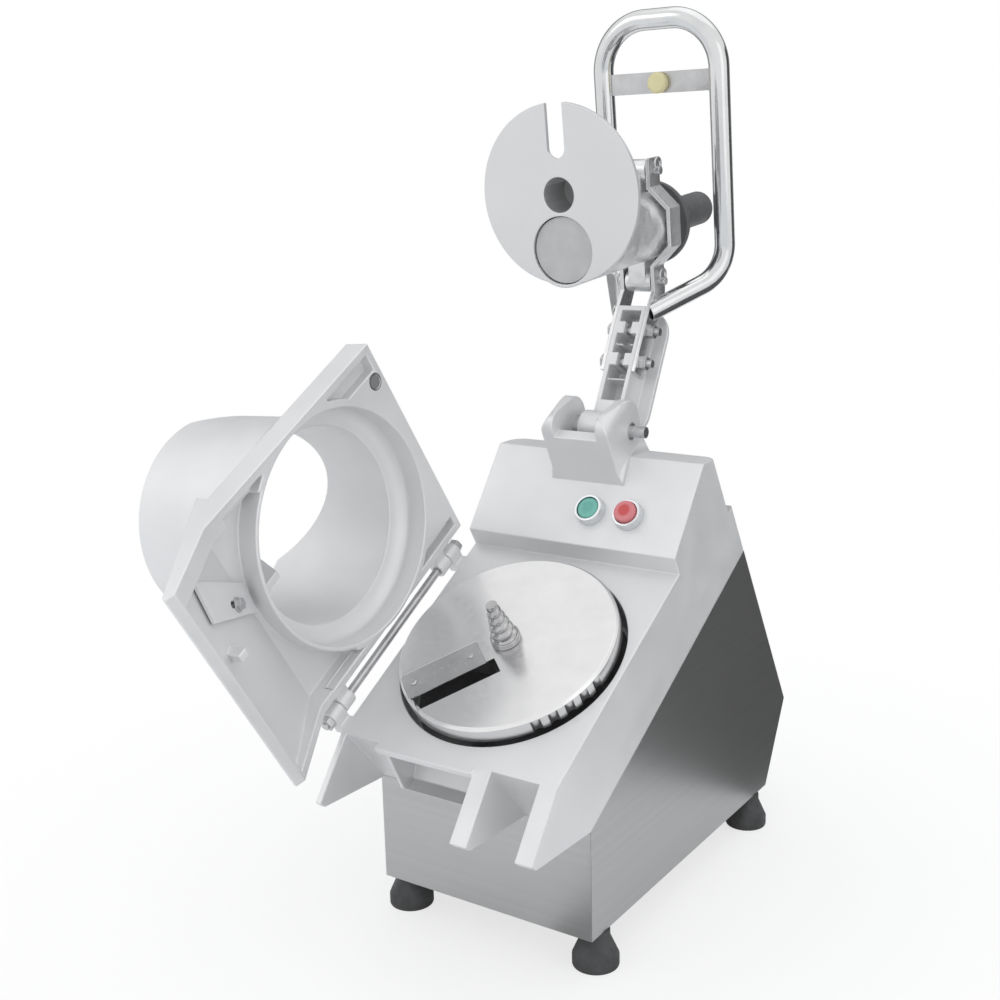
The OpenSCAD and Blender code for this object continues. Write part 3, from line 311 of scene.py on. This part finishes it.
foot_rubber = rubber_material("foot_rubber", (0.042, 0.042, 0.043), (0.068, 0.068, 0.069))
rounded("feet", 0.0012, foot_rubber)


# Studs of the feet and every other fastener: zinc-plated steel, with the shaft, bearings and motor plate.
# Fine machining marks and a slightly uneven plating.
def steel_material(name, dark, pale, smooth, rough, stretch=None):
    clouds, sheen, marks = 45, 160, 1400
    material, tree, shader, place = surface(name, 1, pale)
    tint(tree, speckle(tree, place, clouds, stretch=stretch), dark, pale, shader)
    shine(tree, speckle(tree, place, sheen, stretch=stretch), smooth, rough, shader)
    bump(tree, speckle(tree, place, marks, stretch=stretch), 0.03, 0.0002, shader)
    return material


def dress(material, *names):
    for name in names:
        nodes[name].data.materials.clear()
        nodes[name].data.materials.append(material)


plated_steel = steel_material("plated_steel", (0.50, 0.50, 0.51), (0.66, 0.66, 0.67), 0.25, 0.40)
dress(plated_steel, "foot_bolts", "motor_posts", "motor_plate", "drive_shaft", "bearings", "pivot_spacers")
for name in ("rear_screws", "hinge_rod", "hinge_nuts", "pivot_pin", "pivot_nut", "lever_bolts", "lever_nuts",
             "clevis_pins", "split_rings", "latch_bolt", "blade_screws"):
    rounded(name, 0.0004, plated_steel)

# Cabinet: one stainless sheet bent round the front and both sides, with a back cover and a floor plate.
# Brushed along its length, so the grain runs level on every panel.
brushed_sheet = steel_material("brushed_sheet", (0.50, 0.50, 0.50), (0.53, 0.53, 0.53), 0.33, 0.37,
                               stretch=(0.05, 0.05, 6))
dress(brushed_sheet, "base_plate")
rounded("cabinet", 0.0007, brushed_sheet, segments=3)
rounded("rear_cover", 0.0005, brushed_sheet)

# Cable gland: moulded black nylon with a domed nut, in the back cover.
# The switch parts, the shaft's seal and the belt inside the cabinet have the same dark finish.
black_nylon = rubber_material("black_nylon", (0.02, 0.02, 0.021), (0.04, 0.04, 0.042))
dress(black_nylon, "contact_blocks", "reed_switch", "shaft_seal", "drive_belt")
rounded("cable_gland", 0.0005, black_nylon)

# Drive: a foot-mounted motor, painted grey, with turned aluminium pulleys.
# All of it is inside the cabinet.
motor_paint = rubber_material("motor_paint", (0.07, 0.08, 0.09), (0.10, 0.11, 0.12))
dress(motor_paint, "motor")
turned_aluminium = steel_material("turned_aluminium", (0.45, 0.45, 0.46), (0.58, 0.58, 0.59), 0.28, 0.42)
dress(turned_aluminium, "large_pulley", "motor_pulley")


# Deck casting, hopper and lever beam: cast aluminium, blasted to an even satin.
# Faint clouding over large faces and a fine grain.
def cast_material(name, dark, pale, smooth, rough):
    clouds, sheen, grain, metallic = 9, 40, 1100, 0.45
    material, tree, shader, place = surface(name, metallic, pale)
    tint(tree, speckle(tree, place, clouds, detail=4), dark, pale, shader)
    shine(tree, speckle(tree, place, sheen), smooth, rough, shader)
    bump(tree, speckle(tree, place, grain, detail=2), 0.10, 0.0004, shader)
    return material


satin_casting = cast_material("satin_casting", (0.72, 0.72, 0.725), (0.78, 0.78, 0.785), 0.42, 0.52)
head_corner, corner_reach = (0.106, 0.083, 0.359), 0.02
ear_foot, ear_root, ear_reach = (0.0378, 0.0177, 0.403), (0.0383, 0.0425, 0.4153), 0.003
right_spots = ((head_corner, corner_reach), (ear_foot, ear_reach), (ear_root, ear_reach))
sharp_spots = [((side * x, y, z), reach) for side in (-1, 1) for (x, y, z), reach in right_spots]
rounded("top_casting", 0.0012, satin_casting, segments=3, sharp=sharp_spots)
rounded("hopper", 0.0014, satin_casting, segments=3)
rounded("lever_arm", 0.0010, satin_casting, segments=3)

# Magnet of the safety switch: a grey ferrite plug in a chromed ring, let into the corner of the hopper.
# The ring is turned from bar and pressed in level with the casting.
bright_chrome = steel_material("bright_chrome", (0.66, 0.665, 0.67), (0.72, 0.725, 0.73), 0.10, 0.16)
ferrite = rubber_material("ferrite", (0.16, 0.16, 0.162), (0.20, 0.20, 0.203))
plug = rounded("magnet", 0.0003, ferrite)
plug_end = max(plug.data.polygons, key=lambda face: (round(face.normal.x, 3), face.area)).normal.copy()
plug_top = max(vert.co.dot(plug_end) for vert in plug.data.vertices)
plug_low, plug_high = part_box("magnet")
plug_middle = (Vector(plug_low) + Vector(plug_high)) / 2
ring_proud = 0.0003
ring_place = plug_middle + plug_end * (plug_top - plug_middle.dot(plug_end) + ring_proud)
ring_inner, ring_outer, ring_deep, ring_fall = 0.0066, 0.0085, 0.0010, 0.0004
ring_steps = 48
bm = bmesh.new()
section = [bm.verts.new((radius, 0, height)) for radius, height in (
    (ring_inner, -ring_deep), (ring_inner, -ring_fall), (ring_inner + ring_fall, 0),
    (ring_outer - ring_fall, 0), (ring_outer, -ring_fall), (ring_outer, -ring_deep))]
outline = [bm.edges.new(pair) for pair in zip(section, section[1:] + section[:1])]
bmesh.ops.spin(bm, geom=outline, cent=(0, 0, 0), axis=(0, 0, 1), angle=2 * math.pi, steps=ring_steps,
               use_merge=True)
bmesh.ops.remove_doubles(bm, verts=bm.verts, dist=1e-6)
bmesh.ops.recalc_face_normals(bm, faces=bm.faces)
lean = plug_end.to_track_quat("Z", "Y").to_matrix().to_4x4()
bmesh.ops.transform(bm, matrix=Matrix.Translation(ring_place) @ lean, verts=bm.verts)
ring = made_piece("magnet.ring", bm, crease, bright_chrome)
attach(ring, nodes["magnet"]["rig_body"])

# Latch plate: a slotted plate between the walls of the hopper's hood, cast and blasted as the hopper is.
# Its bolt clamps it, and it keeps the hopper shut.
rounded("latch_plate", 0.0006, satin_casting)

# Ejector: a dark nylon plate with sweeping ribs, on the shaft below the disc.
# It throws the slices out of the well and shows only through the disc's slot; its near-black colour is
# partly the nylon's own and partly painted shade for the slot.
# This near-black is partly painted shade, seen through the disc's slot and the gap round the disc.
slot_shade_nylon = rubber_material("slot_shade_nylon", (0.10, 0.10, 0.10), (0.13, 0.13, 0.13))
dress(slot_shade_nylon, "ejector")

# Slicing disc: cast aluminium, turned and polished on its face and rim.
# A bright, slightly uneven mirror that shows the hub screw.
polished_disc = steel_material("polished_disc", (0.77, 0.77, 0.775), (0.81, 0.81, 0.815), 0.20, 0.27)
rounded("cutting_disc", 0.0004, polished_disc)

# Blade: a ground steel plate let into the disc, a little darker than the aluminium round it.
# Its edge stands over the slot and two countersunk screws hold it.
ground_steel = steel_material("ground_steel", (0.56, 0.56, 0.565), (0.62, 0.62, 0.625), 0.18, 0.28)
rounded("blade", 0.0001, ground_steel)


# Hub screw: a polished steel cone with a deep round thread of five turns over a round collar.
# It is screwed into the end of the drive shaft, pulls the food to the middle and holds the disc down.
def threaded_cone(name, place, axis, material):
    collar_r, collar_h, collar_round, collar_lift = 0.0138, 0.006, 0.0008, 0.0002
    neck_r, tip_r, height = 0.0125, 0.0052, 0.0448
    turns, depth, crest = 5, 0.30, 0.8
    run_in, run_out = 14, 10
    rows, spokes, thread_crease = 150, 56, math.radians(50)
    bm = bmesh.new()
    cone_h = height - collar_h
    bmesh.ops.create_cone(bm, cap_ends=True, segments=spokes, radius1=neck_r, radius2=tip_r, depth=cone_h)
    flanks = [edge for edge in bm.edges if abs(edge.verts[0].co.z - edge.verts[1].co.z) > cone_h / 2]
    bmesh.ops.subdivide_edges(bm, edges=flanks, cuts=rows, use_grid_fill=True)
    for vert in bm.verts:
        rise = vert.co.z / cone_h + 0.5
        turn = 2 * math.pi * rise * turns - math.atan2(vert.co.y, vert.co.x)
        fade = min(1, run_in * rise, run_out * (1 - rise))
        groove = 1 - abs(math.cos(turn / 2)) ** crest
        share = 1 - depth * fade * groove
        vert.co.x *= share
        vert.co.y *= share
    bmesh.ops.translate(bm, verts=bm.verts, vec=(0, 0, collar_h + cone_h / 2))
    collar_place = Matrix.Translation((0, 0, collar_h / 2 + collar_lift))
    collar = bmesh.ops.create_cone(bm, cap_ends=True, segments=spokes, radius1=collar_r, radius2=collar_r,
                                   depth=collar_h, matrix=collar_place)["verts"]
    rims = [edge for edge in bm.edges
            if any(len(face.verts) == spokes for face in edge.link_faces) and edge.verts[0] in collar]
    bmesh.ops.bevel(bm, geom=rims, offset=collar_round, offset_type="OFFSET", affect="EDGES", segments=3,
                    profile=0.5, material=-1)
    lean = Vector(axis).to_track_quat("Z", "Y").to_matrix().to_4x4()
    bmesh.ops.transform(bm, matrix=Matrix.Translation(place) @ lean, verts=bm.verts)
    piece = made_piece(name + ".thread", bm, thread_crease, material)
    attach(piece, nodes[name]["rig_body"])
    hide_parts(name)


joints = {joint["name"]: joint for joint in frame["record"]["behaviour"]["joints"]}
polished_steel = steel_material("polished_steel", (0.40, 0.40, 0.405), (0.50, 0.50, 0.505), 0.06, 0.12)
threaded_cone("hub_screw", joints["disc_spin"]["pos_m"], joints["disc_spin"]["axis"], polished_steel)


# Pusher: one aluminium casting, a smooth round plate with a sleeve and lugs behind it.
# The plate is machined to an even satin; the sleeve is left lumpy from the mould and polished by hand.
def hand_polished(name, dark, pale, smooth, rough):
    clouds, sheen, lumps, metallic = 30, 90, 55, 0.7
    material, tree, shader, place = surface(name, metallic, pale)
    tint(tree, speckle(tree, place, clouds), dark, pale, shader)
    shine(tree, speckle(tree, place, sheen), smooth, rough, shader)
    bump(tree, speckle(tree, place, lumps, detail=1), 0.45, 0.004, shader)
    return material


smooth_plate = cast_material("smooth_plate", (0.66, 0.66, 0.665), (0.69, 0.69, 0.695), 0.30, 0.36)
polished_sleeve = hand_polished("polished_sleeve", (0.78, 0.78, 0.785), (0.88, 0.88, 0.885), 0.26, 0.36)
# The hub pocket in the plate's face gets a darker copy of the casting: painted shade in that recess.
pocket_shade_casting = cast_material("pocket_shade_casting", (0.32, 0.32, 0.323), (0.55, 0.55, 0.553), 0.36, 0.48)
pusher = rounded("pusher", 0.0007, smooth_plate, segments=3)
pusher.data.materials.append(polished_sleeve)
pusher.data.materials.append(pocket_shade_casting)
plate_thick, rim_slack = 0.0062, 0.0004
pocket_r, pocket_start, pocket_end, backward = 0.0165, 0.001, 0.052, 0.5
press_way = Vector(joints["plunger_slide"]["axis"])
plate_up = press_way.cross(Vector((1, 0, 0)))
plate_front = min(vert.co.dot(press_way) for vert in pusher.data.vertices)
plate_rim = [vert.co for vert in pusher.data.vertices if vert.co.dot(press_way) < plate_front + rim_slack]
plate_x, plate_y = [(min(spans) + max(spans)) / 2 for spans in
                    ([point.x for point in plate_rim], [point.dot(plate_up) for point in plate_rim])]
# Faces inside the hub pocket get the painted pocket shade, and faces behind the plate get the polished
# sleeve.
for face in pusher.data.polygons:
    depth = face.center.dot(press_way) - plate_front
    aside = math.hypot(face.center.x - plate_x, face.center.dot(plate_up) - plate_y)
    in_reach = aside < pocket_r and pocket_start < depth < pocket_end
    if in_reach and face.normal.dot(press_way) < backward:
        face.material_index = 2
    elif depth > plate_thick:
        face.material_index = 1

# Straps: two flat stainless bars bent round the plunger's sleeve, polished.
# Bolts hold them to the beam, and pins hold the pusher between them.
polished_bar = steel_material("polished_bar", (0.66, 0.66, 0.665), (0.76, 0.76, 0.765), 0.26, 0.36)
for name in ("left_strap", "right_strap"):
    rounded(name, 0.0006, polished_bar)

# Handle: bent steel tube with bright chrome plating, welded to the straps.
# Its two legs rise to one wide arch, bent cold on a former.
handle_tube_r, arch_r, arch_steps = 0.010, 0.048, 24
cut_dist, join_dist = 1e-6, 2e-5
handle = rounded("handle", 0, bright_chrome)
leg_way = Vector((1, 0, 0)).cross(press_way)
bm = bmesh.new()
bm.from_mesh(handle.data)
arch_foot = max(vert.co.dot(leg_way) for vert in bm.verts) - handle_tube_r - arch_r
arch_half = max(vert.co.x for vert in bm.verts) - handle_tube_r - arch_r
bmesh.ops.bisect_plane(bm, geom=bm.verts[:] + bm.edges[:] + bm.faces[:], dist=cut_dist,
                       plane_co=leg_way * arch_foot, plane_no=leg_way, clear_outer=True)
leg_ends = [edge for edge in bm.edges if edge.is_boundary]
leg_depth = sum(edge.verts[0].co.dot(press_way) for edge in leg_ends) / len(leg_ends)
tube_end = [edge for edge in leg_ends if edge.verts[0].co.x > 0]
for side in (1, -1):
    bend_at = Vector((side * arch_half, 0, 0)) + leg_way * arch_foot + press_way * leg_depth
    bend = bmesh.ops.spin(bm, geom=tube_end, cent=bend_at, axis=-press_way, angle=math.pi / 2,
                          steps=arch_steps)
    tube_end = [item for item in bend["geom_last"] if isinstance(item, bmesh.types.BMEdge)]
    if side == 1:
        grown = bmesh.ops.extrude_edge_only(bm, edges=tube_end)["geom"]
        bmesh.ops.translate(bm, verts=[item for item in grown if isinstance(item, bmesh.types.BMVert)],
                            vec=(-2 * arch_half, 0, 0))
        tube_end = [item for item in grown if isinstance(item, bmesh.types.BMEdge) and item.is_boundary]
bmesh.ops.remove_doubles(bm, verts=bm.verts, dist=join_dist)
bmesh.ops.recalc_face_normals(bm, faces=bm.faces)
bm.to_mesh(handle.data)
bm.free()
smooth_shaded(handle.data, crease)

# Crossbar: a flat stainless bar with a dull rolled surface.
# It is welded across the handle and carries the buffer.
rolled_bar = steel_material("rolled_bar", (0.50, 0.50, 0.505), (0.62, 0.62, 0.625), 0.26, 0.38)
rounded("crossbar", 0.0006, rolled_bar)

# Bezels of the push buttons: round collars, turned and chromed to a satin.
# They are screwed to the head from the front and hold the caps.
satin_chrome = steel_material("satin_chrome", (0.72, 0.74, 0.755), (0.77, 0.79, 0.805), 0.26, 0.34)
rounded("button_bezels", 0.0006, satin_chrome)


# Push buttons: clear tinted plastic caps over small lamps, green to start and red to stop.
# Each is moulded, so its middle has a deeper colour than its edge, and springs in its bezel.
def lit_cap(name, node, core, rim):
    core_r, rim_r = 0.0030, 0.0085
    sheen, grain = 120, 1200
    material, tree, shader, place = surface(name, 0, rim)
    low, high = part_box(node)
    centred = tree.nodes.new("ShaderNodeVectorMath")
    centred.operation = "SUBTRACT"
    centred.inputs[1].default_value = (Vector(low) + Vector(high)) / 2
    across = tree.nodes.new("ShaderNodeVectorMath")
    across.operation = "CROSS_PRODUCT"
    across.inputs[1].default_value = joints[node.replace("button", "press")]["axis"]
    away = tree.nodes.new("ShaderNodeVectorMath")
    away.operation = "LENGTH"
    tree.links.new(place, centred.inputs[0])
    tree.links.new(centred.outputs["Vector"], across.inputs[0])
    tree.links.new(across.outputs["Vector"], away.inputs[0])
    share = tree.nodes.new("ShaderNodeMapRange")
    share.inputs["From Min"].default_value = core_r
    share.inputs["From Max"].default_value = rim_r
    tree.links.new(away.outputs["Value"], share.inputs["Value"])
    tint(tree, share.outputs["Result"], core, rim, shader)
    shine(tree, speckle(tree, place, sheen), 0.20, 0.30, shader)
    bump(tree, speckle(tree, place, grain), 0.05, 0.0002, shader)
    return material


green_cap = lit_cap("green_cap", "start_button", (0.125, 0.405, 0.342), (0.16, 0.46, 0.39))
red_cap = lit_cap("red_cap", "stop_button", (0.56, 0.065, 0.065), (0.64, 0.20, 0.215))
rounded("start_button", 0.0006, green_cap, segments=3)
rounded("stop_button", 0.0006, red_cap, segments=3)


# Buffer: a pale round pad of moulded plastic, screwed to the middle of the crossbar.
# It stops the lever softly where it meets the machine.
def plastic_material(name, dark, pale, smooth, rough):
    clouds, sheen, grain = 70, 120, 1200
    material, tree, shader, place = surface(name, 0, pale)
    tint(tree, speckle(tree, place, clouds), dark, pale, shader)
    shine(tree, speckle(tree, place, sheen), smooth, rough, shader)
    bump(tree, speckle(tree, place, grain), 0.05, 0.0002, shader)
    return material


cream_buffer = plastic_material("cream_buffer", (0.66, 0.59, 0.33), (0.74, 0.68, 0.40), 0.40, 0.55)
rounded("bumper", 0.0006, cream_buffer, segments=3)

# Plunger: turned from dark plastic, with a flange and a grip, loose in the pusher's sleeve.
# Its end face, which presses the food, is painted much paler than the rest: a painted highlight for light
# falling on the end, while the grip stays in shade.
grey_plunger = plastic_material("grey_plunger", (0.085, 0.085, 0.088), (0.11, 0.11, 0.114), 0.38, 0.50)
# The paler copy of the plastic is a painted highlight for the plunger's lit end face.
painted_lit_end = plastic_material("painted_lit_end", (0.44, 0.44, 0.443), (0.50, 0.50, 0.503), 0.45, 0.60)
plunger = rounded("plunger", 0.0010, grey_plunger, segments=3)
plunger.data.materials.append(painted_lit_end)
# Faces within this depth of the end get the paler copy, so the painted light sits on the end face.
lit_face_depth = 0.0002
plunger_end = min(vert.co.dot(press_way) for vert in plunger.data.vertices)
for face in plunger.data.polygons:
    if face.center.dot(press_way) < plunger_end + lit_face_depth:
        face.material_index = 1
